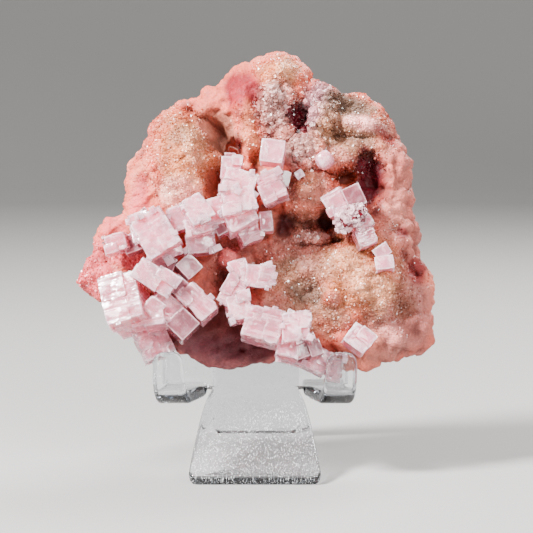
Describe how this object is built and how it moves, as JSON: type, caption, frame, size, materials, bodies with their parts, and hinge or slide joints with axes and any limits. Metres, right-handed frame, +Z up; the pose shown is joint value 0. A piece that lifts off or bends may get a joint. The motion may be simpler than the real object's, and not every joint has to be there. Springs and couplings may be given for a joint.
{
  "type": "halite specimen on easel",
  "caption": "Pink halite specimen, blocky translucent crystals on a lumpy druzy crust, leaning back on a clear acrylic easel bent from one sheet.",
  "frame": {"origin": "on the floor, under the middle of the whole object's box", "axes": "+Z up, +X to the right of someone who faces the specimen, -Y towards them; the specimen leans back towards +Y"},
  "size_m": [0.0924, 0.0748, 0.1097],
  "materials": {
    "crust": "rough, druzy, salmon pink to tan",
    "crystal": "translucent pale pink, glossy cube faces",
    "acrylic": "clear, polished, with rounded edges"
  },
  "bodies": {
    "root": {"halite_crust": "crust", "crystal_left_cluster": "crystal", "crystal_lower_chain": "crystal", "crystal_upper_round": "crystal", "crystal_upper_cube": "crystal", "crystal_upper_small": "crystal", "crystal_right_cluster": "crystal", "crystal_right_cube": "crystal", "crystal_lower_right_cube": "crystal", "acrylic_easel": "acrylic"}
  },
  "joints": []
}
